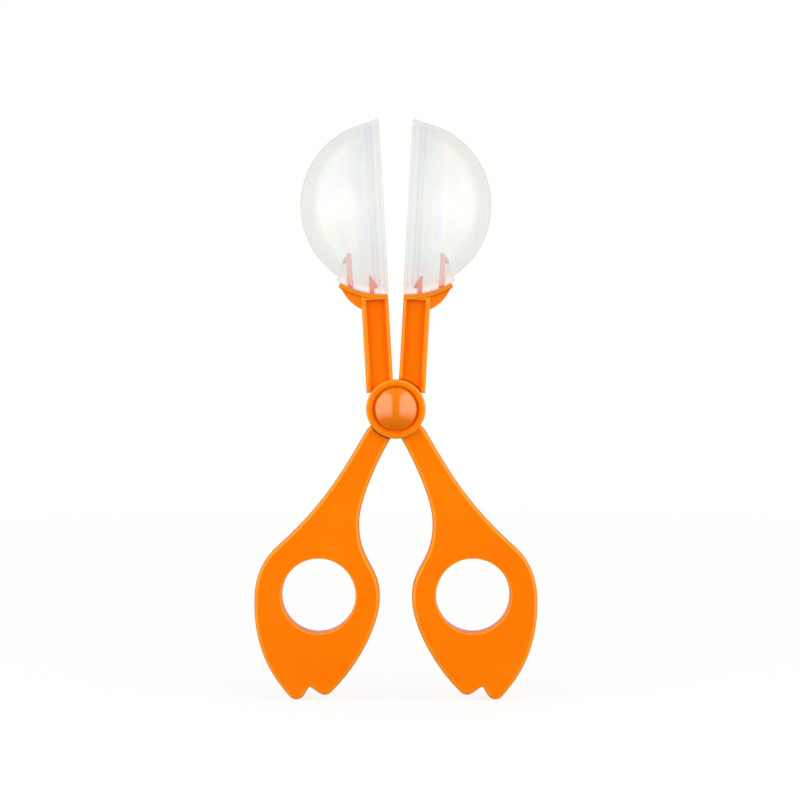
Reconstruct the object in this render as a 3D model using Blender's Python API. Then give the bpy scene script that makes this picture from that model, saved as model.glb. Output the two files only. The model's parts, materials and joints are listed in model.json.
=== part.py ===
"""Insect-catching scissors, in metres, +Z up, front towards -Y.

Two arms cross at a hub. Each is one moulding: an upper beam that ends in a saddle with two snap
hooks, half of the hub, and a neck that widens into a finger plate. A clear half cup snaps on each
saddle, and the closed arms hold the two cups as a ball. A domed cap with a hollow post passes
through both hub halves, and a screw from behind holds it.

Every piece is modelled in the closed position, in the front arm's frame: the hinge axis is Y
through the origin, the beam and its cup lie at -X above it, and the finger plate at +X below it.
The rear arm is the same shape turned half a turn about Z. Each arm then swings open from closed.
"""

import math

import bmesh
import bpy
from mathutils import Vector

MM = 0.001

# Pose as built: how far each arm stands from the closed position.
ARM_SWING = math.radians(3.27)

# Cups. The ball's centre lies straight above the hinge when the arms are closed.
CUP_CENTRE_HEIGHT = 61.2 * MM
CUP_RADIUS = 25.25 * MM
CUP_WALL = 1.2 * MM
CUP_RIM_SETBACK = 0.15 * MM
RIM_FLARE_WIDTH = 3.6 * MM
RIM_FLARE_HEIGHT = 0.95 * MM
RIM_LIP = 0.5 * MM
PAD_HEIGHT = 1.25 * MM
PAD_HALF_DEPTH = 3.9 * MM
PAD_INNER_REACH = 0.6 * MM
PAD_OUTER_REACH = 15.4 * MM

# Saddle and gusset under the cup.
SEAT_CLEARANCE = 0.3 * MM
SADDLE_THICKNESS = 1.7 * MM
SADDLE_HALF_DEPTH = 4.3 * MM
SADDLE_REACH = 14.4 * MM
SADDLE_TIP_THICKNESS = 1.2 * MM
GUSSET_HALF_DEPTH = 3.2 * MM
GUSSET_DROP = 5.2 * MM

# Snap hooks, set by their distance from the mating plane.
HOOK_HALF_DEPTH = 2.0 * MM
TALL_HOOK_REACH = 10.8 * MM
TALL_HOOK_THICKNESS = 1.6 * MM
TALL_HOOK_HEAD = 2.7 * MM
SHORT_HOOK_REACH = 4.5 * MM
SHORT_HOOK_THICKNESS = 1.3 * MM
SHORT_HOOK_HEAD = 3.3 * MM
SHORT_LATCH_RISE = 1.8 * MM
BARB_LENGTH = 1.0 * MM
BARB_LIP = 0.7 * MM
SLOT_CLEARANCE = 0.3 * MM
LATCH_WALL_RISE = 3.8 * MM
LATCH_WALL_THICKNESS = 1.4 * MM
LATCH_WALL_HALF_DEPTH = 3.0 * MM

# Upper beams: two ribs, a web between them and a band under the saddle.
BEAM_INNER_REACH = 0.4 * MM
BEAM_WIDTH = 8.1 * MM
BEAM_HALF_DEPTH = 4.0 * MM
BEAM_FOOT_HEIGHT = 5.3 * MM
BEAM_WEB_HALF_DEPTH = 2.4 * MM
INNER_RIB = 1.0 * MM
OUTER_RIB = 1.4 * MM
TOP_BAND = 1.5 * MM
BEAM_ROUNDING = 0.6 * MM

# Hub: each arm owns one half of its depth.
HUB_RADIUS = 8.9 * MM
HUB_HALF_DEPTH = 5.0 * MM
HUB_EDGE_ROUNDING = 0.9 * MM
HUB_PARTING_GAP = 0.3 * MM
HUB_TURNING_CLEARANCE = 0.3 * MM

# Pivot: dome cap with its post, and the screw behind.
DOME_RADIUS = 6.3 * MM
DOME_RISE = 2.9 * MM
DOME_SKIRT = 0.5 * MM
DOME_RECESS_DEPTH = 1.0 * MM
DOME_SIDE_CLEARANCE = 0.75 * MM
POST_RADIUS = 3.9 * MM
POST_CLEARANCE = 0.3 * MM
PILOT_RADIUS = 1.5 * MM
PILOT_DEPTH = 4.9 * MM
SCREW_HEAD_RADIUS = 2.9 * MM
SCREW_HEAD_HEIGHT = 1.4 * MM
SCREW_SHANK_RADIUS = 1.2 * MM
SCREW_TIP_CLEARANCE = 0.5 * MM
SCREW_SLOT_WIDTH = 0.7 * MM
SCREW_SLOT_LENGTH = 3.2 * MM
SCREW_SLOT_DEPTH = 0.7 * MM
SCREW_RECESS_DEPTH = 2.0 * MM
SCREW_SIDE_CLEARANCE = 0.75 * MM
SCREW_SHANK_CLEARANCE = 0.3 * MM
SCREW_SEAT_WEB = 0.8 * MM

# Neck and finger plate. Levels are measured down from the hinge, reaches from the mating plane.
# A lobe's place is the sharp corner that its rounding takes off.
HANDLE_LENGTH = 90.7 * MM
HANDLE_HALF_DEPTH = 3.0 * MM
HANDLE_ROUNDING = 1.0 * MM
NECK_OUTER_REACH = 8.3 * MM
NECK_OUTER_LEVEL = 6.5 * MM
NECK_INNER_REACH = 1.1 * MM
NECK_INNER_LEVEL = 9.0 * MM
PLATE_OUTER_REACH = 39.15 * MM
PLATE_INNER_REACH = 1.55 * MM
PLATE_LEVEL = 58.0 * MM
SHOULDER_REACH = 33.45 * MM
SHOULDER_LEVEL = 43.4 * MM
WAIST_REACH = 9.1 * MM
WAIST_LEVEL = 33.8 * MM
FINGER_HOLE_REACH = 19.97 * MM
FINGER_HOLE_LEVEL = 57.2 * MM
FINGER_HOLE_RADIUS = 11.15 * MM
FINGER_HOLE_ROUNDING = 0.5 * MM
OUTER_LOBE_REACH = 24.3 * MM
INNER_LOBE_REACH = 16.05 * MM
INNER_LOBE_SHORTFALL = 3.1 * MM
NOTCH_REACH = 21.2 * MM
NOTCH_DEPTH = 6.2 * MM
LOBE_RADIUS = 2.8 * MM
NOTCH_RADIUS = 0.6 * MM

# How finely round shapes are divided.
TURN_STEPS = 56
CUP_TURN_STEPS = 56
CUP_ARC_STEPS = 14
CURVE_STEPS = 12
CORNER_STEPS = 7
ROUNDING_STEPS = 2
OVERCUT = 1.0 * MM

ORANGE = (1.0, 0.212, 0.002, 1.0)
CLEAR = (0.95, 0.97, 0.97, 1.0)
STEEL = (0.62, 0.62, 0.6, 1.0)


def empty_scene():
    """Remove whatever the scene holds."""
    for thing in list(bpy.data.objects):
        bpy.data.objects.remove(thing)


def material(name, colour, roughness, metallic=0.0, transmission=0.0):
    """One Principled material."""
    made = bpy.data.materials.new(name)
    made.use_nodes = True
    shader = made.node_tree.nodes["Principled BSDF"]
    shader.inputs["Base Color"].default_value = colour
    shader.inputs["Roughness"].default_value = roughness
    shader.inputs["Metallic"].default_value = metallic
    shader.inputs["Transmission Weight"].default_value = transmission
    return made


def new_object(name, mesh):
    """Turn a bmesh into a linked object."""
    bmesh.ops.recalc_face_normals(mesh, faces=mesh.faces[:])
    data = bpy.data.meshes.new(name)
    mesh.to_mesh(data)
    mesh.free()
    made = bpy.data.objects.new(name, data)
    bpy.context.scene.collection.objects.link(made)
    return made


def prism(outline, y_front, y_back, rounding=0.0):
    """Solid between two Y planes on an (x, z) outline, its rims rounded where asked."""
    mesh = bmesh.new()
    front = [mesh.verts.new((x, y_front, z)) for x, z in outline]
    back = [mesh.verts.new((x, y_back, z)) for x, z in outline]
    rims = mesh.faces.new(front).edges[:] + mesh.faces.new(back).edges[:]
    for index in range(len(outline)):
        after = (index + 1) % len(outline)
        mesh.faces.new((front[index], front[after], back[after], back[index]))
    bmesh.ops.recalc_face_normals(mesh, faces=mesh.faces[:])
    if rounding:
        bmesh.ops.bevel(mesh, geom=rims, offset=rounding, offset_type="OFFSET", affect="EDGES",
                        segments=ROUNDING_STEPS, profile=0.5, clamp_overlap=False)
    return new_object("prism", mesh)


def box(x_low, x_high, y_half, z_low, z_high):
    """Upright block centred on the mid plane in depth."""
    outline = [(x_low, z_low), (x_high, z_low), (x_high, z_high), (x_low, z_high)]
    return prism(outline, -y_half, y_half)


def turned(profile, axis, centre=(0.0, 0.0, 0.0), steps=TURN_STEPS):
    """Solid of revolution: profile is a closed loop of (radius, distance along the axis)."""
    mesh = bmesh.new()
    axis = Vector(axis)
    side = Vector((0.0, 0.0, 1.0))
    origin = Vector(centre)
    ring = [mesh.verts.new(origin + side * radius + axis * along) for radius, along in profile]
    edges = [mesh.edges.new((ring[i], ring[(i + 1) % len(ring)])) for i in range(len(ring))]
    bmesh.ops.spin(mesh, geom=ring + edges, cent=origin, axis=axis, angle=math.tau, steps=steps,
                   use_merge=True)
    bmesh.ops.remove_doubles(mesh, verts=mesh.verts[:], dist=0.0001 * MM)
    loose = [edge for edge in mesh.edges if not edge.link_faces]
    bmesh.ops.delete(mesh, geom=loose, context="EDGES")
    return new_object("turned", mesh)


def combine(target, tool, operation):
    """Join or cut target with tool, and use the tool up."""
    modifier = target.modifiers.new(operation, "BOOLEAN")
    modifier.operation = operation
    modifier.solver = "EXACT"
    modifier.object = tool
    graph = bpy.context.evaluated_depsgraph_get()
    result = bpy.data.meshes.new_from_object(target.evaluated_get(graph))
    target.modifiers.clear()
    target.data = result
    bpy.data.objects.remove(tool)


def join(target, tool):
    """Add a tool's solid to the target."""
    combine(target, tool, "UNION")


def cut(target, tool):
    """Take a tool's solid away from the target."""
    combine(target, tool, "DIFFERENCE")


def arc(centre, radius, start, end, steps):
    """Points on a circle in the XZ plane, angles in degrees from +X towards +Z."""
    points = []
    for step in range(steps + 1):
        angle = math.radians(start + (end - start) * step / steps)
        points.append((centre[0] + radius * math.cos(angle), centre[1] + radius * math.sin(angle)))
    return points


def sweep(start, start_heading, start_pull, end, end_heading, end_pull, steps=CURVE_STEPS):
    """Smooth curve between two points that leaves and arrives on the given headings in degrees.

    The pulls say how long the curve keeps to each heading. The start point is left out, so that
    sweeps follow one another.
    """
    leave = Vector((math.cos(math.radians(start_heading)), math.sin(math.radians(start_heading))))
    arrive = Vector((math.cos(math.radians(end_heading)), math.sin(math.radians(end_heading))))
    p0 = Vector(start)
    p3 = Vector(end)
    p1 = p0 + leave * start_pull
    p2 = p3 - arrive * end_pull
    points = []
    for step in range(1, steps + 1):
        t = step / steps
        s = 1.0 - t
        point = p0 * s ** 3 + p1 * 3 * s * s * t + p2 * 3 * s * t * t + p3 * t ** 3
        points.append((point.x, point.y))
    return points


def rounded_corner(before, corner, after, radius, steps=CORNER_STEPS):
    """Arc that replaces a sharp corner between two straight runs."""
    corner = Vector(corner)
    back = (Vector(before) - corner).normalized()
    ahead = (Vector(after) - corner).normalized()
    half_angle = back.angle(ahead) / 2.0
    centre = corner + (back + ahead).normalized() * (radius / math.sin(half_angle))
    run = radius / math.tan(half_angle)
    first = corner + back * run - centre
    last = corner + ahead * run - centre
    start = math.degrees(math.atan2(first.y, first.x))
    turn = math.degrees(math.atan2(last.y, last.x)) - start
    turn = (turn + 180.0) % 360.0 - 180.0
    return arc(centre, radius, start, start + turn, steps)


def cup_surface_height(reach, radius, depth=0.0):
    """Height of the lower side of a sphere about the ball's centre."""
    return CUP_CENTRE_HEIGHT - math.sqrt(radius ** 2 - reach ** 2 - depth ** 2)


def cup_angle(reach, radius):
    """Angle in degrees of the point at that reach on the ball's lower left side."""
    return 270.0 - math.degrees(math.asin(reach / radius))


# Radii about the ball's centre that the cup, its foot pad and the saddle share.
CUP_INNER_RADIUS = CUP_RADIUS - CUP_WALL
PAD_RADIUS = CUP_RADIUS + PAD_HEIGHT
SADDLE_RADIUS = PAD_RADIUS + SEAT_CLEARANCE

# Hub and pivot levels along Y in an arm's own frame, whose outer face is at -HUB_HALF_DEPTH.
HUB_INNER_FACE = -HUB_PARTING_GAP / 2.0
DOME_RECESS_FLOOR = -HUB_HALF_DEPTH + DOME_RECESS_DEPTH
DOME_BASE = DOME_RECESS_FLOOR - SEAT_CLEARANCE
SCREW_RECESS_FLOOR = -HUB_HALF_DEPTH + SCREW_RECESS_DEPTH
POST_STOP = SCREW_RECESS_FLOOR + SCREW_SEAT_WEB
POST_HOLE_RADIUS = POST_RADIUS + POST_CLEARANCE


def handle_outline():
    """Neck and finger plate, from the hub's outer side round the lobes and back up."""
    hub_side = (NECK_OUTER_REACH, -NECK_OUTER_LEVEL)
    shoulder = (SHOULDER_REACH, -SHOULDER_LEVEL)
    outer_side = (PLATE_OUTER_REACH, -PLATE_LEVEL)
    inner_side = (PLATE_INNER_REACH, -PLATE_LEVEL)
    waist = (WAIST_REACH, -WAIST_LEVEL)
    hub_foot = (NECK_INNER_REACH, -NECK_INNER_LEVEL)
    outer_lobe = (OUTER_LOBE_REACH, -HANDLE_LENGTH)
    inner_lobe = (INNER_LOBE_REACH, -HANDLE_LENGTH + INNER_LOBE_SHORTFALL)
    notch = (NOTCH_REACH, -HANDLE_LENGTH + NOTCH_DEPTH)
    outer_flank = (outer_lobe[0] + 4.5 * MM, outer_lobe[1] + 4.8 * MM)
    inner_flank = (inner_lobe[0] - 2.1 * MM, inner_lobe[1] + 2.3 * MM)

    points = [hub_side]
    points += sweep(hub_side, -63.0, 15.0 * MM, shoulder, -45.0, 19.0 * MM)
    points += sweep(shoulder, -45.0, 6.0 * MM, outer_side, -90.0, 5.0 * MM)
    points += sweep(outer_side, -90.0, 7.0 * MM, outer_flank, -133.5, 13.0 * MM)
    points += rounded_corner(outer_flank, outer_lobe, notch, LOBE_RADIUS)
    points += rounded_corner(outer_lobe, notch, inner_lobe, NOTCH_RADIUS)
    points += rounded_corner(notch, inner_lobe, inner_flank, LOBE_RADIUS)
    points += sweep(points[-1], 132.5, 12.0 * MM, inner_side, 90.0, 7.0 * MM)
    points += sweep(inner_side, 90.0, 11.0 * MM, waist, 90.0, 13.0 * MM)
    points += sweep(waist, 90.0, 6.0 * MM, hub_foot, 118.0, 8.0 * MM)
    hidden_in_hub = [(0.6 * MM, -7.0 * MM), (5.0 * MM, -3.0 * MM)]
    return points + hidden_in_hub


def handle():
    """Neck and finger plate with its finger hole, whose edges are rounded too."""
    plate = prism(handle_outline(), -HANDLE_HALF_DEPTH, HANDLE_HALF_DEPTH, HANDLE_ROUNDING)
    wide = FINGER_HOLE_RADIUS + FINGER_HOLE_ROUNDING
    straight = HANDLE_HALF_DEPTH - FINGER_HOLE_ROUNDING
    far = HANDLE_HALF_DEPTH + OVERCUT
    mouth = arc((wide, straight), FINGER_HOLE_ROUNDING, 180.0, 90.0, ROUNDING_STEPS)
    profile = [(0.0, -far), (wide, -far)]
    profile += [(radius, -along) for radius, along in reversed(mouth)]
    profile += mouth
    profile += [(wide, far), (0.0, far)]
    spool = turned(profile, (0.0, 1.0, 0.0), (FINGER_HOLE_REACH, 0.0, -FINGER_HOLE_LEVEL))
    cut(plate, spool)
    return plate


def hub():
    """Outer half of the hub, with a rounded outer edge."""
    edge = arc((HUB_RADIUS - HUB_EDGE_ROUNDING, HUB_HALF_DEPTH - HUB_EDGE_ROUNDING),
               HUB_EDGE_ROUNDING, 0.0, 90.0, ROUNDING_STEPS + 1)
    profile = [(0.0, HUB_INNER_FACE), (HUB_RADIUS, HUB_INNER_FACE)]
    profile += [(radius, -along) for radius, along in edge]
    profile += [(0.0, -HUB_HALF_DEPTH)]
    return turned(profile, (0.0, 1.0, 0.0))


def beam():
    """Upper beam with a pocket in front and behind, which leaves ribs, web and top band.

    Its top follows the saddle and ends inside it.
    """
    inner = -BEAM_INNER_REACH
    outer = inner - BEAM_WIDTH
    top_radius = SADDLE_RADIUS + SADDLE_THICKNESS / 4.0
    pocket_top = cup_surface_height(BEAM_INNER_REACH, SADDLE_RADIUS) - TOP_BAND
    profile = [(outer, BEAM_FOOT_HEIGHT), (inner, BEAM_FOOT_HEIGHT)]
    profile += arc((0.0, CUP_CENTRE_HEIGHT), top_radius, cup_angle(-inner, top_radius),
                   cup_angle(-outer, top_radius), CURVE_STEPS)
    made = prism(profile, -BEAM_HALF_DEPTH, BEAM_HALF_DEPTH, BEAM_ROUNDING)
    for facing in (-1.0, 1.0):
        outline = [(outer + OUTER_RIB, 0.0), (inner - INNER_RIB, 0.0),
                   (inner - INNER_RIB, pocket_top), (outer + OUTER_RIB, pocket_top)]
        depths = sorted((facing * BEAM_WEB_HALF_DEPTH, facing * (BEAM_HALF_DEPTH + OVERCUT)))
        cut(made, prism(outline, depths[0], depths[1]))
    return made


def saddle():
    """Curved plate under the cup, concentric with the ball and thinner at its tip."""
    under = SADDLE_RADIUS + SADDLE_THICKNESS
    inner_top = cup_angle(BEAM_INNER_REACH, SADDLE_RADIUS)
    outer_top = cup_angle(SADDLE_REACH, SADDLE_RADIUS)
    top = arc((0.0, CUP_CENTRE_HEIGHT), SADDLE_RADIUS, inner_top, outer_top, CURVE_STEPS)
    steps = CURVE_STEPS - 2
    bottom = []
    for step in range(steps):
        share = step / steps
        angle = math.radians(outer_top + (inner_top - outer_top) * share)
        radius = SADDLE_RADIUS + SADDLE_TIP_THICKNESS
        radius += (under - radius) * math.sin(math.pi / 2.0 * share)
        bottom.append((radius * math.cos(angle), CUP_CENTRE_HEIGHT + radius * math.sin(angle)))
    bottom.append((-BEAM_INNER_REACH, cup_surface_height(BEAM_INNER_REACH, under)))
    return prism(top + bottom, -SADDLE_HALF_DEPTH, SADDLE_HALF_DEPTH, BEAM_ROUNDING / 2.0)


def gusset():
    """Bowed bracket between the saddle's overhang and the beam's outer rib."""
    beam_side = -BEAM_INNER_REACH - BEAM_WIDTH
    inside = beam_side + OUTER_RIB / 2.0
    root = cup_surface_height(-beam_side, SADDLE_RADIUS) - GUSSET_DROP
    tip_radius = SADDLE_RADIUS + SADDLE_TIP_THICKNESS / 2.0
    tip = (-SADDLE_REACH, cup_surface_height(SADDLE_REACH, SADDLE_RADIUS + SADDLE_TIP_THICKNESS))
    underside = [(inside, root), (beam_side, root)]
    underside += sweep((beam_side, root), 152.0, 3.6 * MM, tip, 114.0, 3.0 * MM, CORNER_STEPS)
    centre = (0.0, CUP_CENTRE_HEIGHT)
    buried = arc(centre, tip_radius, cup_angle(SADDLE_REACH - SADDLE_TIP_THICKNESS / 2.0, tip_radius),
                 cup_angle(-inside, tip_radius), CORNER_STEPS)
    return prism(underside + buried, -GUSSET_HALF_DEPTH, GUSSET_HALF_DEPTH)


def tall_latch_height():
    """Top of the cup's latch wall, which the tall hook's barb holds down."""
    reach = TALL_HOOK_REACH + TALL_HOOK_THICKNESS + SLOT_CLEARANCE
    return cup_surface_height(reach, CUP_INNER_RADIUS) + LATCH_WALL_RISE


def short_latch_height():
    """Ledge inside the short hook's slot, which its barb holds down."""
    return cup_surface_height(SHORT_HOOK_REACH, SADDLE_RADIUS) + SHORT_LATCH_RISE


def hook(reach, thickness, head, latch_height, barb_side):
    """Snap hook on the saddle: barb_side 1 points the barb outwards, -1 to the mating plane."""
    plain = reach if barb_side > 0 else reach + thickness
    barbed = reach + thickness if barb_side > 0 else reach
    crown = (plain + barbed) / 2.0
    foot = cup_surface_height(reach, SADDLE_RADIUS + SADDLE_TIP_THICKNESS / 2.0)
    catch = latch_height + SEAT_CLEARANCE
    barb = barbed + barb_side * BARB_LENGTH
    profile = [(plain, foot), (barbed, foot), (barbed, catch), (barb, catch), (barb, catch + BARB_LIP),
               (crown, catch + head), (plain, catch + head)]
    return prism([(-x, z) for x, z in profile], -HOOK_HALF_DEPTH, HOOK_HALF_DEPTH)


def clear_partner_hub(arm):
    """Cut the limbs back where the other arm's half of the hub turns."""
    radius = HUB_RADIUS + HUB_TURNING_CLEARANCE
    far = HUB_HALF_DEPTH + OVERCUT
    profile = [(0.0, HUB_INNER_FACE), (radius, HUB_INNER_FACE), (radius, far), (0.0, far)]
    cut(arm, turned(profile, (0.0, 1.0, 0.0)))


def arm(name, bore_profile):
    """One moulded arm. The bore profile is cut through its half of the hub."""
    made = handle()
    join(made, beam())
    join(made, gusset())
    join(made, saddle())
    clear_partner_hub(made)
    join(made, hub())
    join(made, hook(TALL_HOOK_REACH, TALL_HOOK_THICKNESS, TALL_HOOK_HEAD, tall_latch_height(), 1))
    join(made, hook(SHORT_HOOK_REACH, SHORT_HOOK_THICKNESS, SHORT_HOOK_HEAD, short_latch_height(), -1))
    cut(made, turned(bore_profile, (0.0, 1.0, 0.0)))
    made.name = name
    return made


def front_bore():
    """Recess for the dome and hole for the post."""
    recess = DOME_RADIUS + DOME_SIDE_CLEARANCE
    return [(0.0, -HUB_HALF_DEPTH - OVERCUT), (recess, -HUB_HALF_DEPTH - OVERCUT),
            (recess, DOME_RECESS_FLOOR), (POST_HOLE_RADIUS, DOME_RECESS_FLOOR),
            (POST_HOLE_RADIUS, OVERCUT), (0.0, OVERCUT)]


def rear_bore():
    """Recess for the screw's head, a web that it seats on, and hole for the post."""
    recess = SCREW_HEAD_RADIUS + SCREW_SIDE_CLEARANCE
    passage = SCREW_SHANK_RADIUS + SCREW_SHANK_CLEARANCE
    return [(0.0, -HUB_HALF_DEPTH - OVERCUT), (recess, -HUB_HALF_DEPTH - OVERCUT),
            (recess, SCREW_RECESS_FLOOR), (passage, SCREW_RECESS_FLOOR), (passage, POST_STOP),
            (POST_HOLE_RADIUS, POST_STOP), (POST_HOLE_RADIUS, OVERCUT), (0.0, OVERCUT)]


def cup(name):
    """Half-round cup with a flared rim, a foot pad, two hook slots and a latch wall."""
    rim = CUP_RIM_SETBACK
    flare_end = rim + RIM_FLARE_WIDTH
    wall_start = math.asin(flare_end / CUP_RADIUS)
    lip_edge = (CUP_RADIUS + RIM_FLARE_HEIGHT, rim + RIM_LIP)
    flare_foot = (CUP_RADIUS * math.cos(wall_start), flare_end)
    inner_start = math.degrees(math.asin(rim / CUP_INNER_RADIUS))
    profile = [(lip_edge[0] - RIM_LIP, rim), lip_edge]
    profile += sweep(lip_edge, 115.0, 0.9 * MM, flare_foot, 90.0 + math.degrees(wall_start), 1.6 * MM,
                     CORNER_STEPS)
    profile += arc((0.0, 0.0), CUP_RADIUS, math.degrees(wall_start), 90.0, CUP_ARC_STEPS)[1:]
    profile += arc((0.0, 0.0), CUP_INNER_RADIUS, 90.0, inner_start, CUP_ARC_STEPS)
    made = turned(profile, (-1.0, 0.0, 0.0), (0.0, 0.0, CUP_CENTRE_HEIGHT), CUP_TURN_STEPS)
    join(made, foot_pad())
    join(made, latch_wall())
    cut_slot(made, TALL_HOOK_REACH, TALL_HOOK_THICKNESS)
    cut_slot(made, SHORT_HOOK_REACH, SHORT_HOOK_THICKNESS)
    cut_barb_pocket(made)
    made.name = name
    return made


def foot_pad():
    """Pad under the cup that rests on the saddle; its inner side lies within the cup's wall."""
    centre = (0.0, CUP_CENTRE_HEIGHT)
    buried = CUP_INNER_RADIUS + CUP_WALL / 6.0
    outline = arc(centre, PAD_RADIUS, cup_angle(PAD_INNER_REACH, PAD_RADIUS),
                  cup_angle(PAD_OUTER_REACH, PAD_RADIUS), CURVE_STEPS)
    outline += arc(centre, buried, cup_angle(PAD_OUTER_REACH, PAD_RADIUS),
                   cup_angle(PAD_INNER_REACH, PAD_RADIUS), CURVE_STEPS)
    return prism(outline, -PAD_HALF_DEPTH, PAD_HALF_DEPTH)


def latch_wall():
    """Ledge inside the cup, beside the tall hook's slot."""
    near = TALL_HOOK_REACH + TALL_HOOK_THICKNESS + SLOT_CLEARANCE
    far = near + LATCH_WALL_THICKNESS
    outer = cup_surface_height(far, CUP_RADIUS, LATCH_WALL_HALF_DEPTH)
    inner = cup_surface_height(near, CUP_INNER_RADIUS)
    root = (outer + inner) / 2.0
    return box(-far, -near, LATCH_WALL_HALF_DEPTH, root, tall_latch_height())


def cut_slot(target, reach, thickness):
    """Slot through the cup's wall and foot pad for a hook's stem."""
    low = cup_surface_height(0.0, SADDLE_RADIUS) - OVERCUT
    high = cup_surface_height(reach + thickness, CUP_INNER_RADIUS, HOOK_HALF_DEPTH) + OVERCUT
    depth = HOOK_HALF_DEPTH + SLOT_CLEARANCE
    cut(target, box(-reach - thickness - SLOT_CLEARANCE, -reach + SLOT_CLEARANCE, depth, low, high))


def cut_barb_pocket(target):
    """Widen the short hook's slot above its ledge, so that the barb has room."""
    high = cup_surface_height(SHORT_HOOK_REACH, CUP_INNER_RADIUS, HOOK_HALF_DEPTH) + OVERCUT
    depth = HOOK_HALF_DEPTH + SLOT_CLEARANCE
    near = SHORT_HOOK_REACH - BARB_LENGTH - SLOT_CLEARANCE
    cut(target, box(-SHORT_HOOK_REACH, -near, depth, short_latch_height(), high))


def pivot_cap():
    """Dome with a short skirt and the hollow post that both hub halves turn on."""
    post_end = -POST_STOP - SEAT_CLEARANCE
    dome_edge = DOME_BASE - DOME_SKIRT
    sphere = (DOME_RADIUS ** 2 + DOME_RISE ** 2) / (2.0 * DOME_RISE)
    spread = math.asin(DOME_RADIUS / sphere)
    profile = [(0.0, post_end - PILOT_DEPTH), (PILOT_RADIUS, post_end - PILOT_DEPTH),
               (PILOT_RADIUS, post_end), (POST_RADIUS, post_end), (POST_RADIUS, DOME_BASE),
               (DOME_RADIUS, DOME_BASE)]
    for step in range(CURVE_STEPS + 1):
        angle = spread * (1.0 - step / CURVE_STEPS)
        height = sphere * (math.cos(angle) - math.cos(spread))
        profile.append((sphere * math.sin(angle), dome_edge - height))
    made = turned(profile, (0.0, 1.0, 0.0))
    made.name = "pivot_cap"
    return made


def pivot_screw():
    """Pan-head screw from behind, its tip inside the post's pilot hole."""
    seat = -SCREW_RECESS_FLOOR + SEAT_CLEARANCE
    head = seat + SCREW_HEAD_HEIGHT
    tip = -POST_STOP - SEAT_CLEARANCE - PILOT_DEPTH + SCREW_TIP_CLEARANCE
    softened = SCREW_HEAD_HEIGHT / 2.0
    profile = [(0.0, tip), (SCREW_SHANK_RADIUS / 2.0, tip), (SCREW_SHANK_RADIUS, tip + SCREW_SHANK_RADIUS),
               (SCREW_SHANK_RADIUS, seat), (SCREW_HEAD_RADIUS, seat)]
    profile += arc((SCREW_HEAD_RADIUS - softened, head - softened), softened, 0.0, 90.0, ROUNDING_STEPS + 1)
    profile += [(0.0, head)]
    made = turned(profile, (0.0, 1.0, 0.0), steps=TURN_STEPS // 2)
    long_side = SCREW_SLOT_LENGTH / 2.0
    short_side = SCREW_SLOT_WIDTH / 2.0
    cross = [(-long_side, -short_side), (-short_side, -short_side), (-short_side, -long_side),
             (short_side, -long_side), (short_side, -short_side), (long_side, -short_side),
             (long_side, short_side), (short_side, short_side), (short_side, long_side),
             (-short_side, long_side), (-short_side, short_side), (-long_side, short_side)]
    cut(made, prism(cross, head - SCREW_SLOT_DEPTH, head + OVERCUT))
    made.name = "pivot_screw"
    return made


def hinge_height():
    """Height of the hinge above the lowest finger-plate lobe once the arms stand open."""
    return max(x * math.sin(-ARM_SWING) - z * math.cos(ARM_SWING) for x, z in handle_outline())


def swing_frame(name, half_turn):
    """Empty on the hinge axis that holds one arm's pieces at its angle from closed."""
    frame = bpy.data.objects.new(name, None)
    frame.location = (0.0, 0.0, hinge_height())
    frame.rotation_euler = (0.0, -ARM_SWING, half_turn)
    bpy.context.scene.collection.objects.link(frame)
    return frame


def place(piece, frame, surface):
    """Hang a piece on an arm's frame, with its material and smooth shading on round faces."""
    piece.parent = frame
    piece.data.materials.clear()
    piece.data.materials.append(surface)
    piece.data.shade_smooth()
    piece.data.set_sharp_from_angle(angle=math.radians(32.0))
    piece.data.name = piece.name


def build():
    empty_scene()
    orange = material("orange_plastic", ORANGE, 0.4)
    clear = material("clear_plastic", CLEAR, 0.05, transmission=1.0)
    steel = material("steel", STEEL, 0.3, metallic=1.0)

    front = swing_frame("front_swing", 0.0)
    place(arm("front_arm", front_bore()), front, orange)
    place(cup("left_cup"), front, clear)
    place(pivot_cap(), front, orange)
    place(pivot_screw(), front, steel)

    rear = swing_frame("rear_swing", math.pi)
    place(arm("rear_arm", rear_bore()), rear, orange)
    place(cup("right_cup"), rear, clear)


build()
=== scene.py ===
"""Looks of the insect-catching scissors: clear cups, orange arms, polished cap, steel screw."""

import json
import math

import bmesh
import bpy
from mathutils import Matrix, Vector


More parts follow.
